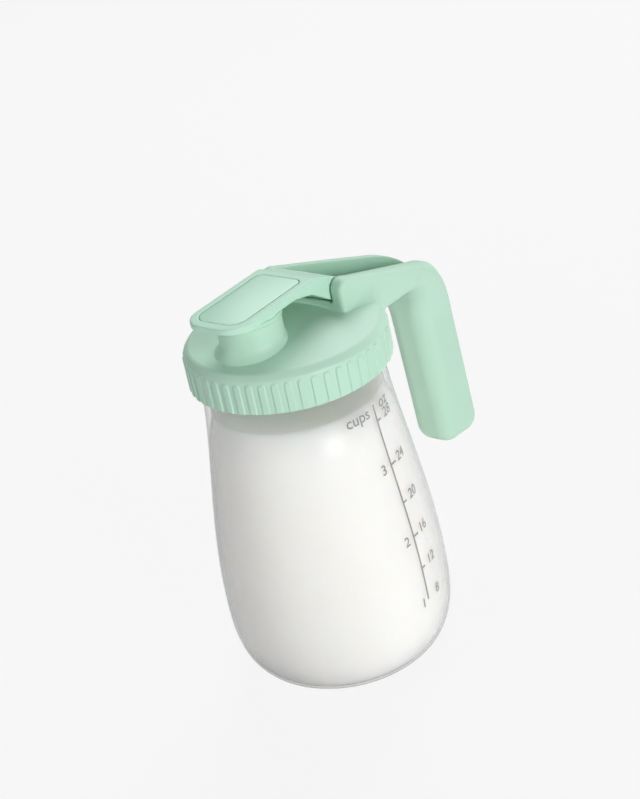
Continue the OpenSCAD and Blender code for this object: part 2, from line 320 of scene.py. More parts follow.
def add_piece(name: str, shape: Mesh, body: Body, material: bpy.types.Material,
              stands_for: Sequence[str] = (), crease_deg: float = 180.0) -> None:
    """Makes a mesh object that rides on a body.

    Args:
        name: the piece's name.
        shape: points in millimetres and faces as point numbers.
        body: the body that carries it.
        material: its finish.
        stands_for: the nodes that it replaces.
        crease_deg: edges sharper than this stay sharp.
    """
    points, faces = shape
    mesh = bpy.data.meshes.new(name)
    mesh.from_pydata((points * MM).tolist(), [], [list(map(int, f)) for f in faces])
    mesh.validate()
    mesh.shade_smooth()
    if crease_deg < 180:
        mesh.set_sharp_from_angle(angle=math.radians(crease_deg))
    mesh.materials.append(material)
    piece = bpy.data.objects.new(name, mesh)
    bpy.context.scene.collection.objects.link(piece)
    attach(piece, body.value)
    if stands_for:
        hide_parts(*stands_for)
    log.info("%s: %d points, %d faces, rides on %s", name, len(mesh.vertices), len(mesh.polygons),
             body.value)


def dress_node(node: str, material: bpy.types.Material) -> None:
    """Gives a node of the frame its finish.

    Args:
        node: the node's name.
        material: its finish.
    """
    mesh = frame["nodes"][node].data
    mesh.materials.clear()
    mesh.materials.append(material)
    log.info("%s: frame node, dressed", node)


def smooth_step(value: Array) -> Array:
    """Eases a value from 0 to 1, flat at both ends."""
    t = np.clip(value, 0, 1)
    return t * t * (3 - 2 * t)


def mix(a: float | Array, b: float | Array, share: float | Array) -> float | Array:
    """Goes from a to b as share goes from 0 to 1."""
    return a + (b - a) * share


def rounded_path(corners: Sequence[tuple[float, float, float]], steps: int = 8,
                 closed: bool = True) -> Array:
    """Walks along corners and turns each into an arc of its own radius.

    Args:
        corners: two coordinates and a radius for each corner; a radius of 0 keeps it sharp.
        steps: straight steps in an arc.
        closed: whether the last corner joins the first.
    Returns:
        The points of the path, one row each.
    """
    path: list[Array] = []
    count = len(corners)
    for i, (x, y, radius) in enumerate(corners):
        here = np.array((x, y), float)
        if radius <= 0 or (not closed and i in (0, count - 1)):
            path.append(here)
            continue
        back = np.array(corners[i - 1][:2]) - here
        ahead = np.array(corners[(i + 1) % count][:2]) - here
        back, ahead = back / np.linalg.norm(back), ahead / np.linalg.norm(ahead)
        half = math.acos(np.clip(back @ ahead, -1, 1)) / 2
        between = (back + ahead) / np.linalg.norm(back + ahead)
        centre = here + between * radius / math.sin(half)
        start = here + back * radius / math.tan(half) - centre
        end = here + ahead * radius / math.tan(half) - centre
        first = math.atan2(start[1], start[0])
        turn = (math.atan2(end[1], end[0]) - first + math.pi) % FULL_TURN - math.pi
        angles = first + turn * np.linspace(0, 1, steps + 1)
        path.extend(centre + radius * np.array((math.cos(a), math.sin(a))) for a in angles)
    return np.array(path)


def bridge(rings: Sequence[Sequence[int]], looped: bool) -> list[list[int]]:
    """Joins neighbouring rings of point numbers with faces; a ring of one point is a pole.

    Args:
        rings: the rings, each with the same count of points or one.
        looped: whether the last ring joins the first.
    Returns:
        The faces.
    """
    faces: list[list[int]] = []
    pairs = zip(rings, [*rings[1:], rings[0]]) if looped else zip(rings, rings[1:])
    for a, b in pairs:
        count = max(len(a), len(b))
        for j in range(count):
            k = (j + 1) % count
            face = [a[j % len(a)], a[k % len(a)], b[k % len(b)], b[j % len(b)]]
            faces.append(list(dict.fromkeys(face)))
    return faces


def stack(loops: Sequence[Array], looped: bool = False) -> Mesh:
    """Joins loops of points into one skin.

    Args:
        loops: the loops, each with the same count of points.
        looped: whether the last loop joins the first; otherwise both ends are closed with a face.
    Returns:
        Points and faces.
    """
    count = len(loops[0])
    rings = [list(range(i * count, (i + 1) * count)) for i in range(len(loops))]
    faces = bridge(rings, looped)
    if not looped:
        faces += [rings[0][::-1], rings[-1]]
    return np.vstack(loops), faces


def spin(path: Array, segments: int, looped: bool = False,
         relief: Callable[[Array, float, float], Array] | None = None) -> Mesh:
    """Turns a path of radius and height about Z.

    Args:
        path: radius and height, one row each; a radius of 0 makes a pole.
        segments: steps round the axis.
        looped: whether the path is closed.
        relief: radial height to add at an angle, for a radius and a height.
    Returns:
        Points and faces.
    """
    angles = np.arange(segments) * FULL_TURN / segments
    points: list[Array] = []
    rings: list[list[int]] = []
    total = 0
    for radius, height in path:
        if radius < TINY:
            ring = np.array([(0.0, 0.0, height)])
        else:
            reach = radius + (relief(angles, radius, height) if relief else 0.0)
            ring = np.column_stack((reach * np.cos(angles), reach * np.sin(angles),
                                    np.full(segments, height)))
        points.append(ring)
        rings.append(list(range(total, total + len(ring))))
        total += len(ring)
    return np.vstack(points), bridge(rings, looped)


@dataclass(frozen=True)
class Thread:
    """A helical ridge with soft flanks, which fades out at both ends."""

    start: float
    turns: float
    ridge: float
    half_width: float = 1.2
    fade_turns: float = 0.08
    flank_share: float = 0.7

    def height(self, angles: Array, level: float) -> Array:
        """Gives the ridge's height at some angles and a level.

        Args:
            angles: angles about the axis, from 0 to a full turn.
            level: the height above the foot of the threaded wall, as start is.
        Returns:
            The ridge's height at each angle.
        """
        result = np.zeros_like(angles)
        for whole in range(math.ceil(self.turns)):
            along = angles / FULL_TURN + whole
            off = np.abs(level - self.start - THREAD_LEAD * along)
            left = self.turns - along
            ends = smooth_step(along / self.fade_turns) * smooth_step(left / self.fade_turns)
            flank = smooth_step((self.half_width - off) / (self.flank_share * self.half_width))
            result = np.maximum(result, self.ridge * ends * flank)
        return result


def outline_distance(outline: Array, u: Array, v: Array) -> Array:
    """Signed distance to a closed outline in a plane, negative inside.

    Args:
        outline: the outline's points.
        u: first coordinates of the places asked for.
        v: second coordinates, of a shape that goes with u.
    Returns:
        The distances.
    """
    u, v = np.broadcast_arrays(u, v)
    nearest = np.full(u.shape, np.inf)
    inside = np.zeros(u.shape, bool)
    for (ax, ay), (bx, by) in zip(outline, np.roll(outline, -1, axis=0)):
        dx, dy = bx - ax, by - ay
        if dx == 0 and dy == 0:
            continue
        t = np.clip(((u - ax) * dx + (v - ay) * dy) / (dx * dx + dy * dy), 0, 1)
        nearest = np.minimum(nearest, (u - ax - t * dx) ** 2 + (v - ay - t * dy) ** 2)
        if dy != 0:
            crossed = (v >= min(ay, by)) & (v < max(ay, by))
            inside ^= crossed & (u < ax + (v - ay) * dx / dy)
    return np.where(inside, -1, 1) * np.sqrt(nearest)


def meet(a: Array, b: Array, radius: float | Array) -> Array:
    """Distance to what two solids share, with its edge rounded."""
    over = np.hypot(np.maximum(radius + a, 0), np.maximum(radius + b, 0))
    return np.minimum(-radius, np.maximum(a, b)) + over


def join(a: Array, b: Array, radius: float | Array) -> Array:
    """Distance to two solids together, with a fillet where they meet."""
    under = np.hypot(np.maximum(radius - a, 0), np.maximum(radius - b, 0))
    return np.maximum(radius, np.minimum(a, b)) - under


@dataclass
class Mould:
    """A block of space in which a moulding is shaped by signed distances and then skinned."""

    low: tuple[float, float, float]
    high: tuple[float, float, float]
    step: float
    x: Array = field(init=False)
    y: Array = field(init=False)
    z: Array = field(init=False)

    def __post_init__(self) -> None:
        """Lays out the open grid."""
        axes = [np.arange(a, b + self.step, self.step) for a, b in zip(self.low, self.high)]
        self.x, self.y, self.z = np.ix_(*axes)

    def sample(self, values: Array, places: Array) -> Array:
        """Reads a field between its grid points.

        Args:
            values: the field on the grid.
            places: places in grid steps from the low corner.
        Returns:
            The field's value at each place.
        """
        places = np.clip(places, 0, np.array(values.shape) - 1 - TINY)
        cell = places.astype(int)
        part = places - cell
        result = np.zeros(len(places))
        for corner in np.ndindex(2, 2, 2):
            weight = np.prod(np.where(corner, part, 1 - part), axis=1)
            i, j, k = (cell + corner).T
            result += weight * values[i, j, k]
        return result

    def settle(self, values: Array, places: Array, rounds: int = 3) -> Array:
        """Moves places along the field's slope until they lie on its zero surface.

        Args:
            values: the field on the grid.
            places: places in grid steps.
            rounds: how often they are moved.
        Returns:
            The moved places.
        """
        half_step, flat = 0.5, 1e-9
        for _ in range(rounds):
            slope = np.column_stack([self.sample(values, places + half) - self.sample(values, places - half)
                                     for half in np.eye(3) * half_step])
            steep = np.maximum((slope ** 2).sum(axis=1), flat)
            shift = slope * (self.sample(values, places) / steep)[:, None]
            places = places - np.clip(shift, -half_step, half_step)
        return places

    def skin(self, values: Array) -> Mesh:
        """Meshes the zero surface of a field with surface nets.

        Args:
            values: the field on the grid, negative inside the moulding.
        Returns:
            Points and faces.
        """
        values = np.broadcast_to(values, (self.x.size, self.y.size, self.z.size))
        inside = values < 0
        corners = np.array(list(np.ndindex(2, 2, 2)))
        size = np.array(values.shape) - 1
        filled = sum(inside[i : i + size[0], j : j + size[1], k : k + size[2]].astype(np.int8)
                     for i, j, k in corners)
        active = (filled > 0) & (filled < 8)
        cells = np.argwhere(active)
        number = np.full(active.shape, -1)
        number[active] = np.arange(len(cells))
        level = np.column_stack([values[tuple((cells + c).T)] for c in corners])
        place, hits = np.zeros((len(cells), 3)), np.zeros(len(cells))
        for a in range(8):
            for b in range(a + 1, 8):
                if np.abs(corners[a] - corners[b]).sum() != 1:
                    continue
                crossed = (level[:, a] < 0) != (level[:, b] < 0)
                share = level[crossed, a] / (level[crossed, a] - level[crossed, b])
                place[crossed] += corners[a] + share[:, None] * (corners[b] - corners[a])
                hits[crossed] += 1
        places = self.settle(values, cells + place / hits[:, None])
        faces = [self._quads(inside, number, axis) for axis in range(3)]
        return np.array(self.low) + places * self.step, np.vstack(faces).tolist()

    @staticmethod
    def _quads(inside: Array, number: Array, axis: int) -> Array:
        """Makes the faces that cross the grid lines along one axis.

        Args:
            inside: which grid points lie inside.
            number: the point number of each cell.
            axis: the axis of the grid lines.
        Returns:
            Four point numbers for each face.
        """
        turned = np.moveaxis(inside, (axis, (axis + 1) % 3, (axis + 2) % 3), (0, 1, 2))
        cell = np.moveaxis(number, (axis, (axis + 1) % 3, (axis + 2) % 3), (0, 1, 2))
        lower, upper = turned[:-1, 1:-1, 1:-1], turned[1:, 1:-1, 1:-1]
        i, j, k = np.nonzero(lower != upper)
        quads = np.column_stack((cell[i, j, k], cell[i, j + 1, k], cell[i, j + 1, k + 1],
                                 cell[i, j, k + 1]))
        leaving = lower[i, j, k]
        quads[~leaving] = quads[~leaving][:, ::-1]
        return quads


@dataclass
class GlassJar:
    """The blown jar with its threaded neck, and the milk in it.

    The widest radius leaves room for the ink inside the frame's box. The filled part is drawn with a
    thin wall and floor: glass bends light so that the milk seems to fill its wall.
    """

    ink_room: float = 0.13
    height: float = field(default_factory=lambda: box_mm("glass_jar")[1].z)
    full_radius: float = field(default_factory=lambda: box_mm("glass_jar")[1].y)
    neck_foot: float = field(default_factory=lambda: box_mm("screw_lid")[0].z)
    widest_height: float = 38.0
    neck_radius: float = 40.7
    base_radius: float = 24.0
    wall: float = 2.6
    body_wall: float = 0.5
    thicken_below: float = 16.0  # how far under the milk's level the wall starts to thicken
    thicken_over: float = 14.0  # over what height it does
    bottom: float = 1.0
    floor_wall: float = 0.7
    push_up: float = 1.2
    push_up_dome: tuple[float, float] = (0.4, 0.9)  # shares of the base's radius and of the push-up
    stand_ring: tuple[tuple[float, float], ...] = ((8.0, 0.25), (5.5, 0.02))  # inset and height
    rim_round: float = 1.1
    rim_depth: float = 4.0
    neck_step: float = 0.3
    neck_within: float = 0.01  # a radius this near to the neck's belongs to it
    heel_power: float = 2.8
    swell_power: float = 1.6
    heel_steps: int = 28
    wall_steps: int = 48
    segments: int = 192
    thread: Thread = Thread(start=1.9, turns=1.2, ridge=1.2)
    milk_top: float = 135.5
    milk_gap: float = 0.15
    floor_gap: float = 0.1
    meniscus: float = 0.9
    cling: tuple[float, ...] = (0.4, 0.9, 1.6, 2.6, 4.0)  # steps from the glass over which milk clings
    cling_fade: float = 0.9

    @property
    def widest_radius(self) -> float:
        """Gives the glass's widest outer radius."""
        return self.full_radius - self.ink_room

    def heel(self, share: Array) -> Array:
        """Gives the rounding of the heel, 1 at the widest place and 0 at the base."""
        return (1 - np.clip(share, 0, 1) ** self.heel_power) ** (1 / self.heel_power)

    def outer(self, z: Array) -> Array:
        """Gives the glass's outer radius.

        Args:
            z: heights above the floor.
        Returns:
            The radius at each height.
        """
        z = np.asarray(z, float)
        share = np.clip((self.neck_foot - z) / (self.neck_foot - self.widest_height), 0, 1)
        swell = np.sin(share * math.pi / 2) ** self.swell_power
        wall = mix(self.neck_radius, self.widest_radius, swell)
        below = (self.widest_height - z) / self.widest_height
        heel = mix(self.base_radius, self.widest_radius, self.heel(below))
        return np.where(z >= self.widest_height, wall, heel)

    def inner(self, z: Array) -> Array:
        """Gives the glass's inner radius.

        Args:
            z: heights above the floor.
        Returns:
            The radius at each height.
        """
        z = np.asarray(z, float)
        share = (self.widest_height - z) / (self.widest_height - self.bottom)
        heel = mix(self.base_radius - self.body_wall, self.widest_radius - self.body_wall, self.heel(share))
        thick = smooth_step((z - self.milk_top + self.thicken_below) / self.thicken_over)
        wall = mix(self.body_wall, self.wall, thick)
        return np.where(z >= self.widest_height, self.outer(z) - wall, heel)

    def levels(self, floor: float, top: float) -> Array:
        """Spaces heights closely round the heel and evenly up the wall.

        Args:
            floor: the lowest height.
            top: the highest height.
        Returns:
            The heights, rising.
        """
        turn = np.linspace(0, math.pi / 2, self.heel_steps)
        heel = floor + (self.widest_height - floor) * (1 - np.cos(turn))
        return np.concatenate((heel, np.linspace(self.widest_height, top, self.wall_steps)[1:]))

    def neck_relief(self, angles: Array, radius: float, z: float) -> Array:
        """Gives the height of the thread on the outside of the neck.

        Args:
            angles: angles about the jar's axis.
            radius: the plain radius there.
            z: the height above the floor.
        Returns:
            The thread's height at each angle.
        """
        if radius < self.neck_radius - self.neck_within or z < self.neck_foot:
            return np.zeros_like(angles)
        return self.thread.height(angles, z - self.neck_foot)

    def build_glass(self) -> None:
        """Builds the glass."""
        rim_foot = self.height - self.rim_round - self.neck_step
        outer_levels = self.levels(0.0, self.neck_foot)
        neck_levels = np.arange(self.neck_foot + self.neck_step, rim_foot, self.neck_step)
        inner_levels = self.levels(self.bottom, rim_foot)[::-1]
        bore, low_rim = self.neck_radius - self.wall, self.height - self.rim_depth
        rim = rounded_path([(self.neck_radius, low_rim, 0), (self.neck_radius, self.height, self.rim_round),
                            (bore, self.height, self.rim_round), (bore, low_rim, 0)], closed=False)[1:-1]
        dome_radius, dome_height = self.push_up_dome
        base = [(0, self.push_up), (self.base_radius * dome_radius, self.push_up * dome_height),
                *((self.base_radius - inset, height) for inset, height in self.stand_ring)]
        path = np.vstack((base, np.column_stack((self.outer(outer_levels), outer_levels)),
                          np.column_stack((np.full(neck_levels.size, self.neck_radius), neck_levels)),
                          rim, np.column_stack((self.inner(inner_levels), inner_levels)),
                          [(0, self.push_up + self.floor_wall)]))
        shape = spin(path, self.segments, relief=self.neck_relief)
        add_piece("jar_glass", shape, Body.JAR, BlownGlass().material(), ["glass_jar"])

    def build_milk(self) -> None:
        """Builds the milk, which clings to the glass at its edge."""
        levels = self.levels(self.bottom + self.floor_gap, self.milk_top + self.meniscus)
        side = np.column_stack((self.inner(levels) - self.milk_gap, levels))
        edge = side[-1, 0]
        cling = np.array(self.cling)
        rise = self.meniscus * np.exp(-cling / self.cling_fade)
        floor = self.push_up + self.floor_wall + self.floor_gap
        path = np.vstack(([(0, floor)], side, np.column_stack((edge - cling, self.milk_top + rise)),
                          [(edge / 2, self.milk_top), (0, self.milk_top)]))
        add_piece("milk_fill", spin(path, self.segments), Body.JAR, FreshMilk().material())


@dataclass
class VolumeScale:
    """The scale printed on the jar's side: a line with marks, plain numbers and the units.

    Depths are measured down from the foot of the neck, and places round the glass from the line.
    """

    jar: GlassJar
    angle_deg: float = -89.1
    line_width: float = 0.85
    line_top: float = 13.3
    mark_depths: dict[int, float] = field(default_factory=lambda: {
        28: 21.2, 24: 42.6, 20: 61.5, 16: 78.7, 12: 95.0, 8: 111.4})
    cups: dict[int, tuple[str, float]] = field(default_factory=lambda: {
        24: ("3", -4.9), 16: ("2", -4.6), 8: ("1", -3.2)})  # number and place
    units: dict[str, tuple[float, float]] = field(default_factory=lambda: {
        "oz": (7.5, 14.5), "cups": (-10.0, 15.1)})  # place and depth
    long_mark: float = 3.7
    short_mark: float = 2.6
    number_at: float = 8.5
    number_lift: float = 1.1
    digit_height: float = 4.6
    unit_height: float = 5.1
    digit_share: float = 0.7  # a digit's height as a share of the font's size
    bold: float = 0.008
    ink: float = 0.06
    lift: float = 0.05
    bar_step: float = 2.0

    def wrap(self, points: Array) -> Array:
        """Lays points of a flat drawing on the glass.

        Args:
            points: distance round from the line, height above the floor and height of the ink.
        Returns:
            The points in space.
        """
        around, z, proud = points.T
        radius = self.jar.outer(z)
        angle = math.radians(self.angle_deg) + around / radius
        reach = radius + self.lift + proud
        return np.column_stack((reach * np.cos(angle), reach * np.sin(angle), z))

    def bar(self, left: float, right: float, low: float, high: float) -> Mesh:
        """Draws a straight bar, stepped so that it follows the glass.

        Args:
            left: distance of its left edge from the line, round the glass.
            right: distance of its right edge.
            low: height of its lower edge.
            high: height of its upper edge.
        Returns:
            Points and faces.
        """
        steps = max(2, int((high - low) / self.bar_step) + 1)
        section = [(left, 0.0), (right, 0.0), (right, self.ink), (left, self.ink)]
        return stack([np.array([(around, z, proud) for around, proud in section])
                      for z in np.linspace(low, high, steps)])

    def word(self, text: str, around: float, z: float, height: float) -> Mesh:
        """Draws a number or a unit, centred on a place.

        Args:
            text: what it says.
            around: distance of its middle from the line, round the glass.
            z: height of the middle of a digit.
            height: height of a digit.
        Returns:
            Points and faces.
        """
        curve = bpy.data.curves.new("ink", "FONT")
        curve.body = text
        curve.align_x = "CENTER"
        curve.extrude = half_thick = 0.5
        curve.offset = self.bold
        shown = bpy.data.objects.new("ink", curve)
        bpy.context.scene.collection.objects.link(shown)
        bpy.context.view_layer.update()
        graph = bpy.context.evaluated_depsgraph_get()
        mesh = bpy.data.meshes.new_from_object(shown.evaluated_get(graph))
        flat = np.array([v.co for v in mesh.vertices], float).reshape(-1, 3)
        faces = [list(p.vertices) for p in mesh.polygons]
        bpy.data.objects.remove(shown)
        bpy.data.curves.remove(curve)
        bpy.data.meshes.remove(mesh)
        size = height / self.digit_share
        return np.column_stack((flat[:, 0] * size + around, flat[:, 1] * size - height / 2 + z,
                                (flat[:, 2] + half_thick) * self.ink)), faces

    def build(self) -> None:
        """Builds the whole print as one piece."""
        top = self.jar.neck_foot
        half = self.line_width / 2
        lowest = min(self.mark_depths)
        parts = [self.bar(-half, half, top - self.mark_depths[lowest], top - self.line_top)]
        for ounces, depth in self.mark_depths.items():
            z = top - depth
            if ounces != lowest:
                reach = self.long_mark if ounces in self.cups else self.short_mark
                parts.append(self.bar(half, reach, z - half, z + half))
            parts.append(self.word(str(ounces), self.number_at, z + self.number_lift, self.digit_height))
            if ounces in self.cups:
                count, around = self.cups[ounces]
                parts.append(self.word(count, around, z, self.digit_height))
        for unit, (around, depth) in self.units.items():
            parts.append(self.word(unit, around, top - depth, self.unit_height))
        points, faces, total = [], [], 0
        for flat, own in parts:
            points.append(self.wrap(flat))
            faces.extend([[i + total for i in f] for f in own])
            total += len(flat)
        add_piece("volume_scale", (np.vstack(points), faces), Body.JAR,
                  CeramicPrint().material(), crease_deg=40)


@dataclass
class ScrewLid:
    """The screw lid: ribbed skirt, bevelled rim and domed deck, with the spout rising from it."""

    skirt_z: float = field(default_factory=lambda: box_mm("screw_lid")[0].z)
    lip_z: float = field(default_factory=lambda: box_mm("screw_lid")[1].z)
    rib_radius: float = field(default_factory=lambda: box_mm("screw_lid")[1].y)
    seat_z: float = field(default_factory=lambda: box_mm("lid_gasket")[1].z)
    spout_x: float = field(default_factory=lambda: sum(b.x for b in box_mm("spout_seal")) / 2)
    spout_radius: float = field(default_factory=lambda: box_mm("spout_seal")[1].y)
    rib_height: float = 0.5
    rib_count: int = 50
    rib_half: float = 1.45
    rib_soft: float = 0.4
    rib_foot: float = 0.5
    rib_top: float = 14.2
    rib_columns: tuple[float, ...] = (0.0, 0.7, 1.15, 1.3, 1.42, 1.54, 1.66, 2.0)
    rib_tip: tuple[float, float, float] = (0.1, -1.9, -0.25)  # first, last and step of its levels
    rib_side_drops: tuple[float, ...] = (3.0, 6.0, 9.0)
    rib_foot_rises: tuple[float, ...] = (2.0, 0.9, 0.5, 0.35)
    plain_half_deg: float = 28.4
    rim_rise: float = 18.2
    bevel: tuple[tuple[float, float], ...] = ((3.1, 0.0), (2.0, 0.45), (0.3, 2.5), (0.0, 3.4))
    bevel_rounds: tuple[float, ...] = (1.0, 2.5, 2.0, 1.6)
    edge_steps: int = 5
    deck_rise_deg: float = 9.2
    deck_rings: tuple[int, int] = (22, 12)  # above and below
    deck_stop: float = 1.2
    deck_lead: float = 9.0
    flat_radius: float = 6.0
    top: float = 2.5
    skirt_wall: float = 2.4
    foot_round: tuple[tuple[float, float], ...] = ((0.1, 0.12), (0.35, 0.0))  # inset and rise
    foot_soft: float = 0.4
    thread: Thread = Thread(start=4.8, turns=1.1, ridge=1.1)
    thread_levels: tuple[float, float, float] = (0.8, -0.2, 0.45)  # from the foot, to the seat, step
    plug_ring: float = 1.2
    plug_radius: float = 35.5
    plug_drop: float = 2.4
    spout_wall: float = 2.5
    flare: float = 4.4
    flare_height: float = 6.0
    flare_power: float = 1.6
    flare_sunk: float = 0.4
    flare_steps: int = 16
    spout_segments: int = 144
    lip_bead: float = 0.6
    lip_drops: tuple[float, float, float] = (2.4, 1.7, 0.6)  # where the bead starts, is full and ends
    lip_rounds: tuple[float, ...] = (0.6, 0.5, 0.4, 0.4, 0.5)

    @property
    def radius(self) -> float:
        """Gives the skirt's outer radius between the ribs."""
        return self.rib_radius - self.rib_height

    @property
    def rim_z(self) -> float:
        """Gives the height of the rim where the deck starts."""
        return self.skirt_z + self.rim_rise

    @property
    def rim_radius(self) -> float:
        """Gives the radius of the rim where the deck starts."""
        return self.radius - self.bevel[0][0]

    def deck_z(self, radius: Array) -> Array:
        """Gives the deck's height at a radius."""
        run = math.hypot(self.rim_radius, self.flat_radius) - np.hypot(radius, self.flat_radius)
        return self.rim_z + run * math.tan(math.radians(self.deck_rise_deg))

    def edge(self) -> list[tuple[float, float]]:
        """Gives radius and height of the corners from the deck's edge down to the skirt."""
        return [(self.radius - inset, self.rim_z - drop) for inset, drop in self.bevel]

    def distance(self, radius: Array, z: Array) -> Array:
        """Gives the distance above the lid's deck, bevel and skirt, negative inside.

        Args:
            radius: distances from the lid's axis.
            z: heights above the floor.
        Returns:
            The distances.
        """
        deck = (z - self.deck_z(radius)) * math.cos(math.radians(self.deck_rise_deg))
        result = np.maximum(deck, radius - self.radius)
        corners = self.edge()
        for (r0, z0), (r1, z1) in zip(corners, corners[1:]):
            face = ((radius - r0) * (z0 - z1) + (z - z0) * (r1 - r0)) / math.hypot(r1 - r0, z1 - z0)
            result = np.maximum(result, face)
        return result

    def columns(self) -> Array:
        """Gives the angles round the lid, set close along each rib's edges.

        Returns:
            The angles, rising.
        """
        near = np.array(self.rib_columns)
        pitch = FULL_TURN / self.rib_count
        offsets = np.concatenate((-near[:0:-1], near, [pitch / 2 * self.radius])) / self.radius
        return np.concatenate([(i + 0.5) * pitch + offsets for i in range(self.rib_count)])

    def ribs(self, angles: Array, z: float) -> Array:
        """Gives the height of the ribs.

        Args:
            angles: angles about the lid's axis.
            z: the height above the floor.
        Returns:
            The ribs' height at each angle.
        """
        pitch = FULL_TURN / self.rib_count
        number = np.floor(angles / pitch)
        middle = (number + 0.5) * pitch
        around = (angles - middle) * self.radius
        end = max(0.0, z - (self.skirt_z + self.rib_top - self.rib_half))
        off = np.hypot(around, end)
        turned = np.abs((np.degrees(middle) + 180) % 360 - 180)
        foot = smooth_step((z - self.skirt_z) / self.rib_foot)
        edge = smooth_step((self.rib_half + self.rib_soft / 2 - off) / self.rib_soft)
        return np.where(turned > self.plain_half_deg, self.rib_height * foot * edge, 0.0)

    def build_shell(self, material: bpy.types.Material) -> None:
        """Builds skirt, rim and deck as one shell round the hole under the spout.

        Args:
            material: its finish.
        """
        angles = self.columns()
        unit = np.column_stack((np.cos(angles), np.sin(angles)))
        hole = self.spout_radius - self.spout_wall / 2
        hole_edge = np.array((self.spout_x, 0)) + hole * unit
        loops: list[Array] = []

        def level(radius: Array | float, z: float) -> None:
            """Adds a ring about the lid's axis."""
            flat = unit * np.reshape(radius, (-1, 1))
            loops.append(np.column_stack((flat, np.full(len(flat), z))))

        def deck(share: float, rim: float, drop: float) -> None:
            """Adds a ring of the deck between the hole and a radius."""
            flat = mix(hole_edge, unit * rim, share)
            loops.append(np.column_stack((flat, self.deck_z(np.hypot(*flat.T)) - drop)))

        for share in np.linspace(0, 1, self.deck_rings[0])[:-1]:
            deck(share, self.rim_radius - self.deck_stop, 0.0)
        corners = [(r, z, soft) for (r, z), soft in zip(self.edge(), self.bevel_rounds)]
        start = self.rim_radius - self.deck_lead
        bevel = [(start, float(self.deck_z(start)), 0), *corners, (self.radius, self.skirt_z, 0)]
        for r, z in rounded_path(bevel, self.edge_steps, closed=False)[1:-1]:
            level(r, z)
        first, last, step = self.rib_tip
        rises = [*np.arange(self.rib_top + first, self.rib_top + last, step),
                 *(self.rib_top - drop for drop in self.rib_side_drops), *self.rib_foot_rises]
        for rise in rises:
            level(self.radius + self.ribs(angles, self.skirt_z + rise), self.skirt_z + rise)
        for inset, rise in self.foot_round:
            level(self.radius - inset, self.skirt_z + rise)
        bore = self.radius - self.skirt_wall
        level(bore + self.foot_soft, self.skirt_z)
        level(bore, self.skirt_z + self.foot_soft)
        first, last, step = self.thread_levels
        for z in np.arange(self.skirt_z + first, self.seat_z + last, step):
            level(bore - self.thread.height(angles % FULL_TURN, z - self.skirt_z), z)
        ring_radius, ring_z = self.plug_radius + self.plug_ring, self.seat_z - self.plug_drop
        for r, z in ((bore, self.seat_z), (ring_radius, self.seat_z), (ring_radius, ring_z),
                     (self.plug_radius, ring_z)):
            level(r, z)
        for share in np.linspace(1, 0, self.deck_rings[1]):
            deck(share, self.plug_radius, self.top)
        points, faces = stack(loops, looped=True)
        outward = [face[::-1] for face in faces]
        add_piece("lid_shell", (points, outward), Body.LID, material, ["screw_lid"],
                  crease_deg=50)

    def build_spout(self, material: bpy.types.Material) -> None:
        """Builds the spout, which flares out at its foot and ends inside the deck.

        Args:
            material: its finish.
        """
        radius, bore = self.spout_radius, self.spout_radius - self.spout_wall
        wide, bead = radius + self.flare, radius + self.lip_bead
        foot = float(self.deck_z(wide - self.spout_x)) - self.flare_sunk
        rise = np.linspace(0, 1, self.flare_steps)
        flare = np.column_stack((mix(radius, wide, (1 - rise) ** self.flare_power),
                                 foot + self.flare_height * rise))
        start, full, end = (self.lip_z - drop for drop in self.lip_drops)
        lip = ((radius, start), (bead, full), (bead, end), (radius, self.lip_z), (bore, self.lip_z))
        corners = [(r, z, soft) for (r, z), soft in zip(lip, self.lip_rounds)]
        upper = rounded_path([(radius, foot + self.flare_height, 0), *corners, (bore, self.seat_z, 0)],
                             self.edge_steps, closed=False)
        outline = np.vstack(([(wide, self.seat_z)], flare, upper[1:]))
        points, faces = spin(outline, self.spout_segments, looped=True)
        points = points + np.array((self.spout_x, 0, 0))
        inside_deck = self.deck_z(np.hypot(points[:, 0], points[:, 1])) - self.top / 2
        points[:, 2] = np.maximum(points[:, 2], inside_deck)
        add_piece("lid_spout", (points, faces), Body.LID, material, crease_deg=60)


@dataclass
class Hinge:
    """The flip cap's hinge: a barrel on trunnion pins, in the slot between the handle's cheeks."""

    place: Vector = field(default_factory=lambda: joint_mm("cap_flip"))
    plate_half: float = field(default_factory=lambda: box_mm("cap_inlay")[1].y)
    barrel: float = 5.2
    pin: float = 2.6
    border: float = 3.9  # from the side of the plate in the cap to the cap's own
    room: float = 0.6  # from the cap's side to a cheek

    @property
    def cap_half(self) -> float:
        """Gives half the cap's width."""
        return self.plate_half + self.border

    @property
    def slot_half(self) -> float:
        """Gives half the width between the cheeks."""
        return self.cap_half + self.room

    def off_axis(self, x: Array, z: Array) -> Array:
        """Gives the distance from the hinge's axis."""
        return np.hypot(x - self.place.x, z - self.place.z)


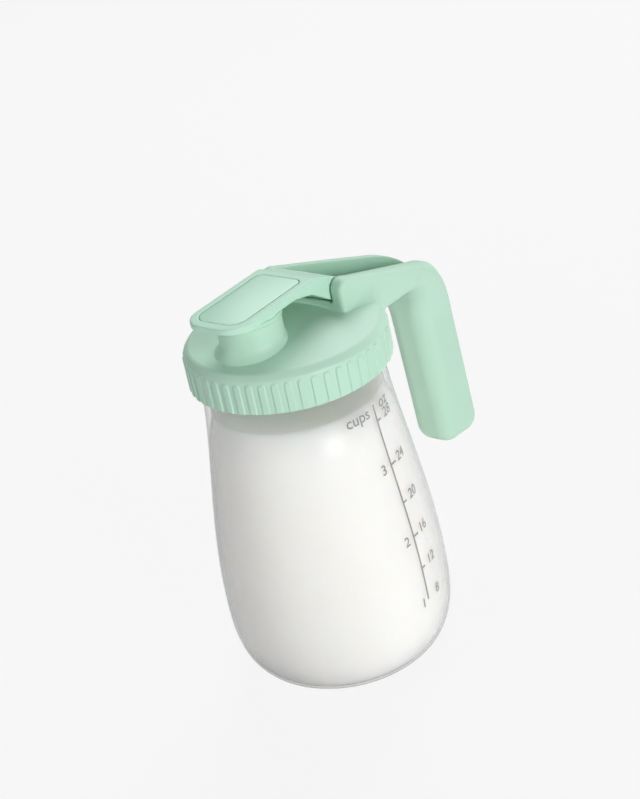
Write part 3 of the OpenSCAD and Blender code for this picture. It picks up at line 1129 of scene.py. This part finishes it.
@dataclass
class Handle:
    """The handle: two cheeks for the hinge, two arms with a channel between them, and the hanging grip."""

    lid: ScrewLid
    hinge: Hinge
    low: Vector = field(default_factory=lambda: box_mm("handle")[0])
    high: Vector = field(default_factory=lambda: box_mm("handle")[1])

    # Cheeks and arms.
    cheek_half: float = 22.7
    nose_back: float = 1.0  # how far the cheeks' front lies behind the barrel's
    nose_round: float = 5.0
    nose_draw: float = 2.0  # length over which the cheeks' front corners draw in
    nose_share: float = 0.8  # how much of a full round they draw in
    arm_start: tuple[float, float] = (2.7, 0.2)  # behind the hinge, under the barrel's top
    arm_end_half: float = 18.5
    arm_wall: float = 7.4
    fall_deg: float = 19.6
    under_rise: float = 5.5
    under_slope: float = 0.09
    foot_rise: float = 2.0
    draw_low: float = 0.2  # how much sooner the arms are narrow at their lower edge

    # Channel between the arms, and the groove in which it runs out.
    slot_fall_deg: float = 13.0
    slot_lift: float = 0.5
    slot_past: float = 1.0
    slot_deep: float = 7.5
    slot_round: float = 1.0
    slot_places: tuple[float, float, float] = (8.0, -6.0, 12.0)  # from the hinge, from the bend, twice
    groove_halves: tuple[float, float] = (6.5, 3.0)
    groove_share: float = 10 / 12
    groove_out: float = 0.5
    groove_steps: int = 11
    clear: float = 20.0  # how far the cut reaches past the handle
    clear_back: float = 25.0

    # Bend and grip.
    grip_half: float = 11.5
    grip_depth: float = 27.5
    grip_x: float = 93.4
    lean_deg: float = 4.6
    back_bend: float = 42.0
    front_bend: float = 14.0
    end_round: float = 9.0
    end_tilt: float = 0.9
    fan: tuple[float, float] = (34.0, 19.0)  # before and below the front corner, the bend fans out
    narrow_late: float = 0.6  # share of the narrowing that is eased at both ends
    bend_steps: int = 13
    outline_steps: int = 16

    # Rounding of the edges.
    front_edge: float = 1.2
    front_change: tuple[float, float] = (2.0, 14.0)  # where the front edge starts to swell, and how long
    top_edge: float = 2.0
    top_growth: float = 1.5
    low_edge: float = 6.0
    grip_edge: float = 8.5
    back_edge: float = 8.0
    back_ease: float = 1.8
    edge_depth: float = 14.0  # depth under the outer surface where the inner rounding is reached
    edge_change: float = 8.0
    bend_soft: float = 2.5
    channel_edge: float = 1.2

    # Sockets for the pins, and the recess for the grip's cover.
    socket_gap: float = 0.1
    socket_depth: float = 3.2
    cover_depth: float = 2.2
    cover_gap: float = 0.12
    cover_room: float = 0.3

    # Seat on the lid.
    fillet: float = 6.0
    fillet_trim: float = 0.4
    fillet_along: tuple[float, float] = (3.0, 22.0)  # where the fillet starts to grow, and how long
    fillet_up: tuple[float, float] = (7.0, 6.0)  # from how far below the rim, and over what height
    front_fillet: float = 0.8
    sunk: float = 0.08
    skin: float = 1.4  # how far the moulding goes into the lid

    # Mould.
    cell: float = 0.6
    margin: float = 2.0

    @property
    def nose_x(self) -> float:
        """Gives the place of the cheeks' front."""
        return self.hinge.place.x - self.hinge.barrel + self.nose_back

    def top_z(self, x: Array) -> Array:
        """Gives the height of the arms' top edge.

        Args:
            x: places along the handle.
        Returns:
            The height at each place.
        """
        behind, under = self.arm_start
        start = self.hinge.place + Vector((behind, 0, self.hinge.barrel - under))
        return start.z - (x - start.x) * math.tan(math.radians(self.fall_deg))

    def grip_side(self, z: Array, side: int) -> Array:
        """Gives the place of the grip's back (1) or front (-1) face at a height."""
        lean = math.tan(math.radians(self.lean_deg))
        return self.grip_x + side * self.grip_depth / 2 + (self.lid.skirt_z - z) * lean

    def corner(self, side: int) -> Array:
        """Finds where an edge of the arms would meet a face of the grip.

        Args:
            side: 1 for the upper edge and the back face, -1 for the lower edge and the front face.
        Returns:
            The corner's X and Z.
        """
        lean, foot = math.tan(math.radians(self.lean_deg)), self.grip_side(0.0, side)
        if side > 0:
            slope = math.tan(math.radians(self.fall_deg))
            level = self.top_z(foot)
        else:
            slope = self.under_slope
            level = self.lid.skirt_z + self.under_rise - (foot - self.lid.radius) * slope
        z = level / (1 - slope * lean)
        return np.array((self.grip_side(z, side), z))

    def side_outline(self) -> Array:
        """Draws the handle from the side.

        Returns:
            The outline's points, as X and Z.
        """
        end, tilt = self.low.z + self.end_tilt, self.end_tilt
        return rounded_path([
            (self.nose_x, self.top_z(self.nose_x), self.nose_round),
            (*self.corner(1), self.back_bend),
            (self.grip_side(end, 1), end - tilt, self.end_round),
            (self.grip_side(end, -1), end + tilt, self.end_round),
            (*self.corner(-1), self.front_bend),
            (self.nose_x, self.lid.skirt_z + self.under_rise + self.foot_rise, 0)], self.outline_steps)

    def back_arc(self, share: Array, depth: Array) -> Array:
        """Gives places on the outer bend, as X and Z.

        Args:
            share: how far round the bend, from 0 to 1.
            depth: how deep under the surface.
        Returns:
            The places, one row each.
        """
        first, last = math.radians(90 - self.fall_deg), math.radians(self.lean_deg)
        along = self.back_bend * math.tan((first - last) / 2)
        fall = math.radians(self.fall_deg)
        start = self.corner(1) + along * np.array((-math.cos(fall), math.sin(fall)))
        centre = start - self.back_bend * np.array((math.sin(fall), math.cos(fall)))
        angle = mix(first, last, np.asarray(share, float))
        return centre + (self.back_bend - depth)[:, None] * np.column_stack((np.cos(angle), np.sin(angle)))

    def channel(self, x: Array, y: Array, z: Array) -> Array:
        """Gives the distance to the channel between the arms, which runs out round the bend.

        Args:
            x: places along the handle.
            y: distances from the mirror plane.
            z: heights above the floor.
        Returns:
            The distances, negative inside the channel.
        """
        slot_z = self.hinge.place.z - self.hinge.barrel + self.slot_lift
        level_x = self.lid.radius + self.slot_past
        share = np.linspace(0, 1, self.groove_steps)
        depth = self.slot_deep - (self.slot_deep + self.groove_out) * share ** 2
        groove = self.back_arc(share * self.groove_share, depth)
        end_x, end_z = groove[-1]
        start, far, high = self.nose_x - self.clear, end_x + self.clear_back, self.high.z + self.clear
        level_z = slot_z - (level_x - self.nose_x) * math.tan(math.radians(self.slot_fall_deg))
        outline = np.vstack(([(start, slot_z), (self.nose_x, slot_z), (level_x, level_z)], groove,
                             [(far, end_z), (far, high), (start, high)]))
        bend_x = self.back_arc([0.0], np.zeros(1))[0, 0]
        full, narrowing, narrow = self.slot_places
        half = np.interp(x, (self.hinge.place.x + full, bend_x + narrowing, bend_x + narrow, end_x),
                         (self.hinge.slot_half, self.arm_end_half - self.arm_wall, *self.groove_halves))
        return meet(outline_distance(outline, x, z), y - half, self.slot_round)

    def body(self, x: Array, y: Array, z: Array) -> Array:
        """Gives the distance to the plain handle: the side view between two faces that draw in along it.

        Args:
            x: places along the handle.
            y: distances from the mirror plane.
            z: heights above the floor.
        Returns:
            The distances, negative inside the handle.
        """
        side = outline_distance(self.side_outline(), x, z)
        steps = np.linspace(0, 1, self.bend_steps)
        arc = self.back_arc(steps, np.zeros(self.bend_steps))
        top = self.top_z(x)
        behind = x - self.nose_x

        # The arms narrow from the cheeks to the bend, and round it to the grip's width.
        low = np.clip((top - z) / (top - self.lid.skirt_z - self.under_rise), 0, 1)
        share = np.clip(behind / (arc[0, 0] - self.nose_x), 0, 1)
        along = np.clip(share + self.draw_low * share * low, 0, 1)
        draw = self.nose_draw - np.clip(behind, 0, self.nose_draw)
        drawn = self.nose_share * (self.nose_draw - np.sqrt(self.nose_draw ** 2 - draw ** 2))
        half = mix(self.cheek_half, self.arm_end_half, along) - drawn
        pivot_x, pivot_z = self.corner(-1) - np.array(self.fan)
        turn = np.arctan2(arc[:, 1] - pivot_z, arc[:, 0] - pivot_x)[::-1]
        place = np.arctan2(z - pivot_z, x - pivot_x)
        narrow = mix(steps, smooth_step(steps), self.narrow_late)
        half = mix(half, self.grip_half, np.interp(place, turn, narrow[::-1]))

        # The edges are sharp at the cheeks, and softer round the bend and down the grip.
        bent = np.interp(place, turn, steps[::-1])
        reach = np.interp(place, turn, np.hypot(arc[:, 0] - pivot_x, arc[:, 1] - pivot_z)[::-1])
        under_bend = reach - np.hypot(x - pivot_x, z - pivot_z)
        under_top = (top - z) * math.cos(math.radians(self.fall_deg))
        under_back = self.grip_side(z, 1) - x
        under = np.where(place > turn[-1], under_top, np.where(place < turn[0], under_back, under_bend))
        outer = mix(self.top_edge * (1 + self.top_growth * share ** 2), self.back_edge,
                    smooth_step(bent * self.back_ease))
        inner = mix(self.low_edge, self.grip_edge, bent) + self.bend_soft * np.sin(math.pi * bent)
        edge = mix(inner, outer, smooth_step((self.edge_depth - under) / self.edge_change))
        begin, length = self.front_change
        edge = mix(self.front_edge, edge, smooth_step((behind - begin) / length))
        return meet(side, y - half, edge)

    def build(self, material: bpy.types.Material) -> None:
        """Builds the handle, filleted on to the lid.

        Args:
            material: its finish.
        """
        room = self.cheek_half + self.fillet + self.margin
        mould = Mould((self.nose_x - 2 * self.margin, -room, self.low.z - self.margin),
                      (self.high.x + self.margin, room, self.high.z + self.margin), self.cell)
        x, y, z = mould.x, np.abs(mould.y), mould.z
        body = meet(self.body(x, y, z), -self.channel(x, y, z), self.channel_edge)
        socket = self.hinge.off_axis(x, z) - self.hinge.pin - self.socket_gap
        body = np.maximum(body, -np.maximum(socket, y - self.hinge.slot_half - self.socket_depth))
        cover_low, cover_high = box_mm("grip_cover")
        cover_half = cover_high.y
        beyond = np.maximum(cover_low.z + cover_half - z, z - cover_high.z + cover_half)
        rounded = np.hypot(y, np.maximum(beyond, 0)) - cover_half - self.cover_gap
        behind = self.grip_side(z, 1) - self.cover_depth - self.cover_room - x
        body = np.maximum(body, -np.maximum(rounded, behind))
        surface = self.lid.distance(np.hypot(x, y), z)
        begin, length = self.fillet_along
        below, height = self.fillet_up
        grow = smooth_step((x - self.nose_x - begin) / length)
        grow = grow * smooth_step((z - self.lid.rim_z + below) / height)
        fillet = mix(self.front_fillet, self.fillet, grow)
        joined = join(body, surface + self.sunk, fillet)
        joined = np.maximum(np.maximum(joined, -(surface + self.skin)), body - fillet - self.fillet_trim)
        add_piece("handle_moulding", mould.skin(joined), Body.LID, material, ["handle"])
        dress_node("grip_cover", material)


@dataclass
class FlipCap:
    """The flip cap with its hinge barrel, the plate let into its top and the silicone seal under it."""

    lid: ScrewLid
    hinge: Hinge
    low: Vector = field(default_factory=lambda: box_mm("flip_cap")[0])
    high: Vector = field(default_factory=lambda: box_mm("flip_cap")[1])
    seal_low: Vector = field(default_factory=lambda: box_mm("spout_seal")[0])
    seal_high: Vector = field(default_factory=lambda: box_mm("spout_seal")[1])
    inlay_low: Vector = field(default_factory=lambda: box_mm("cap_inlay")[0])
    inlay_high: Vector = field(default_factory=lambda: box_mm("cap_inlay")[1])
    front_round: float = 11.5
    plan_steps: int = 14
    barrel_arc_deg: tuple[float, float] = (66.0, -128.0)
    barrel_steps: int = 24
    rear_gap: float = 11.5  # from the end of the flat top to the hinge
    rear_round: float = 4.0
    seal_gap: float = 0.2  # from the seal to where the underside falls to the barrel
    lip_thinning: float = 1.2
    lip_run: float = 9.0  # how far back the lip is thinned
    lip_round: float = 6.0
    notch: tuple[float, float] = (3.1, 2.9)  # before the end of the flat top, under the plate
    notch_rounds: tuple[float, float] = (0.3, 1.5)
    top_edge: float = 0.7
    under_edge: float = 0.5
    inlay_front_round: float = 6.5
    inlay_rear_round: float = 3.5
    inlay_steps: int = 10
    inlay_soft: float = 0.3
    inlay_bulge: float = 0.3  # share of the softening that the edge's middle stands in
    groove: float = 0.28
    pocket_edge: float = 0.3
    pocket_gap: float = 0.1
    plug_draw: tuple[float, float] = (1.4, 0.4)  # room in the spout, at the plug's end and at the lip
    plug_round: float = 0.8
    seal_soft: float = 0.3
    seal_steps: int = 5
    seal_segments: int = 96
    past: float = 9.0  # how far the plan reaches past the cap's rear
    cell: float = 0.33
    margin: float = 1.0

    @property
    def plate_z(self) -> float:
        """Gives the height of the plate's underside."""
        return self.seal_high.z

    def side_outline(self) -> Array:
        """Draws the cap from the side.

        Returns:
            The outline's points, as X and Z.
        """
        rear = self.hinge.place.x - self.rear_gap
        fall = self.lid.spout_x + self.lid.spout_radius + self.seal_gap
        turn = np.radians(np.linspace(*self.barrel_arc_deg, self.barrel_steps))
        barrel_x = self.hinge.place.x + self.hinge.barrel * np.cos(turn)
        barrel_z = self.hinge.place.z + self.hinge.barrel * np.sin(turn)
        corners = [(self.low.x + self.lip_run, self.plate_z, self.lip_round),
                   (self.low.x, self.plate_z + self.lip_thinning, 0), (self.low.x, self.high.z, 0),
                   (rear, self.high.z, self.rear_round), *[(x, z, 0.0) for x, z in zip(barrel_x, barrel_z)],
                   (rear - self.notch[0], self.plate_z - self.notch[1], self.notch_rounds[0]),
                   (fall, self.plate_z, self.notch_rounds[1])]
        return rounded_path(corners)

    def inlay_outline(self, grow: float) -> Array:
        """Draws the plate's outline in plan, grown all round.

        Args:
            grow: how far it is grown.
        Returns:
            The outline's points, as X and Y, anticlockwise.
        """
        x0, x1, y1 = self.inlay_low.x - grow, self.inlay_high.x + grow, self.inlay_high.y + grow
        front, rear = self.inlay_front_round + grow, self.inlay_rear_round + grow
        return rounded_path([(x0, -y1, front), (x1, -y1, rear), (x1, y1, rear), (x0, y1, front)],
                            self.inlay_steps)

    def build_cap(self, material: bpy.types.Material) -> None:
        """Builds the cap with its barrel and trunnion pins.

        Args:
            material: its finish.
        """
        mould = Mould(tuple(v - self.margin for v in self.low), tuple(v + self.margin for v in self.high),
                      self.cell)
        x, y, z = mould.x, mould.y, mould.z
        front, back, half = self.low.x, self.high.x + self.past, self.hinge.cap_half
        plan = rounded_path([(front, -half, self.front_round), (back, -half, 0), (back, half, 0),
                             (front, half, self.front_round)], self.plan_steps)
        side = outline_distance(self.side_outline(), x, z)
        share = smooth_step((z - self.plate_z) / (self.high.z - self.plate_z))
        body = meet(outline_distance(plan, x, y), side, mix(self.under_edge, self.top_edge, share))
        pocket = np.maximum(outline_distance(self.inlay_outline(self.groove), x, y),
                            self.inlay_low.z - self.pocket_gap - z)
        body = meet(body, -pocket, self.pocket_edge)
        pins = np.maximum(self.hinge.off_axis(x, z) - self.hinge.pin, np.abs(y) - self.high.y)
        add_piece("flip_cap_moulding", mould.skin(np.minimum(body, pins)), Body.CAP, material,
                  ["flip_cap"])

    def build_inlay(self, material: bpy.types.Material) -> None:
        """Builds the plate let into the cap, with a softened top edge.

        Args:
            material: its finish.
        """
        soft, top = self.inlay_soft, self.inlay_high.z
        bulge = soft * self.inlay_bulge
        loops: list[Array] = []
        for inset, z in ((0.0, self.inlay_low.z), (0.0, top - soft), (bulge, top - bulge), (soft, top)):
            flat = self.inlay_outline(-inset)
            loops.append(np.column_stack((flat, np.full(len(flat), z))))
        add_piece("cap_plate", stack(loops), Body.CAP, material, ["cap_inlay"],
                  crease_deg=30)

    def build_seal(self, material: bpy.types.Material) -> None:
        """Builds the silicone flange and plug.

        Args:
            material: its finish.
        """
        lip, flange, soft = self.lid.lip_z, self.seal_high.y, self.seal_soft
        low_plug, high_plug = (flange - self.lid.spout_wall - draw for draw in self.plug_draw)
        path = rounded_path([(0, self.seal_low.z, 0), (low_plug, self.seal_low.z, self.plug_round),
                             (high_plug, lip, soft), (flange, lip, soft), (flange, self.plate_z, soft),
                             (0, self.plate_z, 0)], self.seal_steps, closed=False)
        points, faces = spin(path, self.seal_segments)
        points = points + np.array((self.lid.spout_x, 0, 0))
        add_piece("spout_seal_plug", (points, faces), Body.CAP, material, ["spout_seal"],
                  crease_deg=50)


@dataclass(frozen=True)
class Lamp:
    """A square soft lamp that points at the object."""

    name: str
    azimuth_deg: float
    elevation_deg: float
    size: float  # side in metres
    power: float  # watts


@dataclass
class Studio:
    """The pale floor, the soft lamps and the camera at the photograph's viewing angle."""

    aim: Vector = field(default_factory=lambda: Vector((0, 0, box_mm("screw_lid")[0].z)))
    azimuth_deg: float = -46.5
    elevation_deg: float = 25.9
    roll_deg: float = 12.15
    distance: float = 853.0
    px_per_mm: float = 2.287
    frame_px: tuple[int, int] = (640, 799)
    aim_px: tuple[float, float] = (290.9, 364.3)
    sensor: float = 36.0
    clip: tuple[float, float] = (0.01, 50.0)  # metres
    paper: str = "#F8F8F8"
    floor_tone: str = "#EFEFEF"
    floor_half: float = 6.0  # metres
    floor_shadow: float = 0.06  # share of the floor's own shading that shows
    floor_glow: float = 0.05  # how strongly it lights the object from below, as lit paper does
    sky_light: float = 0.03  # how strongly the sky lights the object
    sky_gloss: float = 0.22  # how bright the sky is in gloss
    lamp_aim: tuple[float, float, float] = (0.02, 0.0, 0.1)  # metres
    lamp_far: float = 1.6  # metres
    lamps: tuple[Lamp, ...] = (
        Lamp("key", -18, 14, 0.6, 18.4), Lamp("spout_side", -125, 28, 1.0, 8.0),
        Lamp("rim", 115, 48, 1.0, 19.0), Lamp("grip_side", 75, 15, 1.0, 4.5))

    def toward(self, azimuth_deg: float, elevation_deg: float) -> Vector:
        """Gives the direction from the object to a place at an azimuth and elevation."""
        a, e = math.radians(azimuth_deg), math.radians(elevation_deg)
        return Vector((math.sin(a) * math.cos(e), -math.cos(a) * math.cos(e), math.sin(e)))

    def build_camera(self) -> None:
        """Places the camera so that the aim lies at its own place in the picture."""
        back = self.toward(self.azimuth_deg, self.elevation_deg)
        a, roll = math.radians(self.azimuth_deg), math.radians(self.roll_deg)
        level = Vector((math.cos(a), math.sin(a), 0))
        upright = back.cross(level)
        right = level * math.cos(roll) - upright * math.sin(roll)
        up = level * math.sin(roll) + upright * math.cos(roll)
        focal_px = self.px_per_mm * self.distance
        off_x, off_y = (self.frame_px[i] / 2 - self.aim_px[i] for i in range(2))
        forward = (-back * focal_px + right * off_x - up * off_y).normalized()
        turn = (-back).rotation_difference(forward).to_matrix()
        right, up = turn @ right, turn @ up
        data = bpy.data.cameras.new("camera")
        data.sensor_width = self.sensor
        data.lens = self.sensor * focal_px / max(self.frame_px)
        data.clip_start, data.clip_end = self.clip
        camera = bpy.data.objects.new("camera", data)
        place = Matrix.Translation((self.aim + back * self.distance) * MM)
        camera.matrix_world = place @ Matrix((right, up, -forward)).transposed().to_4x4()
        bpy.context.scene.collection.objects.link(camera)
        bpy.context.scene.camera = camera

    def build_lamp(self, lamp: Lamp) -> None:
        """Hangs a lamp.

        Args:
            lamp: where it hangs, its size and its power.
        """
        data = bpy.data.lights.new(lamp.name, "AREA")
        data.size, data.energy = lamp.size, lamp.power
        hung = bpy.data.objects.new(lamp.name, data)
        back = self.toward(lamp.azimuth_deg, lamp.elevation_deg)
        hung.location = Vector(self.lamp_aim) + back * self.lamp_far
        hung.rotation_euler = back.to_track_quat("Z", "Y").to_euler()
        bpy.context.scene.collection.objects.link(hung)

    def build_world(self) -> None:
        """Sets an even grey sky that looks like the paper in the picture and through glass."""
        world = bpy.data.worlds.new("studio")
        world.use_nodes = True
        bpy.context.scene.world = world
        tree = world.node_tree
        tree.nodes.clear()
        path = add_node(tree, "ShaderNodeLightPath")
        seen = add_node(tree, "ShaderNodeMath", {"operation": "MAXIMUM"},
                        links={0: path.outputs["Is Camera Ray"], 1: path.outputs["Is Transmission Ray"]})
        level = add_node(tree, "ShaderNodeMapRange",
                         values={"To Min": self.sky_light, "To Max": self.sky_gloss},
                         links={"Value": path.outputs["Is Glossy Ray"]})
        light = add_node(tree, "ShaderNodeBackground", values={"Color": (1, 1, 1, 1)},
                         links={"Strength": level.outputs[0]})
        paper = add_node(tree, "ShaderNodeBackground",
                         values={"Color": linear(self.paper), "Strength": 1.0})
        mixed = add_node(tree, "ShaderNodeMixShader",
                         links={0: seen.outputs[0], 1: light.outputs[0], 2: paper.outputs[0]})
        add_node(tree, "ShaderNodeOutputWorld", links={"Surface": mixed.outputs[0]})

    def build_floor(self) -> None:
        """Lays the pale floor, which shows the paper's tone and a share of the object's shadow."""
        half = self.floor_half
        corners = [(-half, -half, 0), (half, -half, 0), (half, half, 0), (-half, half, 0)]
        mesh = bpy.data.meshes.new("floor")
        mesh.from_pydata(corners, [], [(0, 1, 2, 3)])
        material, tree, output = empty_material("paper_floor")
        path = add_node(tree, "ShaderNodeLightPath")
        seen = add_node(tree, "ShaderNodeMath", {"operation": "MAXIMUM"},
                        links={0: path.outputs["Is Camera Ray"], 1: path.outputs["Is Transmission Ray"]})
        share = add_node(tree, "ShaderNodeMapRange",
                         values={"To Min": self.floor_glow, "To Max": 1 - self.floor_shadow},
                         links={"Value": seen.outputs[0]})
        matt = add_node(tree, "ShaderNodeBsdfDiffuse", values={"Color": linear(self.floor_tone)})
        lit = add_node(tree, "ShaderNodeEmission",
                       values={"Color": linear(self.paper), "Strength": 1.0})
        mixed = add_node(tree, "ShaderNodeMixShader",
                         links={0: share.outputs[0], 1: matt.outputs[0], 2: lit.outputs[0]})
        tree.links.new(mixed.outputs[0], output.inputs["Surface"])
        mesh.materials.append(material)
        floor = bpy.data.objects.new("floor", mesh)
        bpy.context.scene.collection.objects.link(floor)

    def build(self) -> None:
        """Builds floor, lamps, sky and camera."""
        bpy.context.scene.view_settings.view_transform = "Standard"
        self.build_camera()
        self.build_world()
        self.build_floor()
        for lamp in self.lamps:
            self.build_lamp(lamp)


def main() -> None:
    """Builds the pitcher and its studio."""
    logging.basicConfig(level=logging.INFO, format="%(name)s: %(message)s")
    mint = MouldedPolymer("polypropylene_injection_moulded", "#B8DCC8", "#B4D8C3").material()
    # The cap and the plate let into its top take lighter copies of the shell's mint: painted light, which
    # stands for the brighter light that falls on the cap's top.
    mint_cap_painted_lighter = MouldedPolymer("polypropylene_cap_painted_lighter", "#B9E1CC", "#B5DDC7").material()
    mint_plate_painted_lighter = MouldedPolymer("polypropylene_plate_painted_lighter", "#BDE7D1", "#B9E3CC").material()
    soft_mint = MouldedPolymer("silicone_compression_moulded", "#CDEFDC", "#C8EBD8", roughness=0.6,
                               ior=1.41, subsurface=0.15).material()
    soft_white = MouldedPolymer("silicone_ring_moulded", "#EFF1EE", "#E9ECE9", roughness=0.6,
                                ior=1.41).material()
    Studio().build()
    jar = GlassJar()
    jar.build_glass()
    jar.build_milk()
    VolumeScale(jar).build()
    dress_node("lid_gasket", soft_white)
    lid = ScrewLid()
    lid.build_shell(mint)
    lid.build_spout(mint)
    hinge = Hinge()
    Handle(lid, hinge).build(mint)
    cap = FlipCap(lid, hinge)
    cap.build_cap(mint_cap_painted_lighter)
    cap.build_inlay(mint_plate_painted_lighter)
    cap.build_seal(soft_mint)


if __name__ == "__main__":
    main()
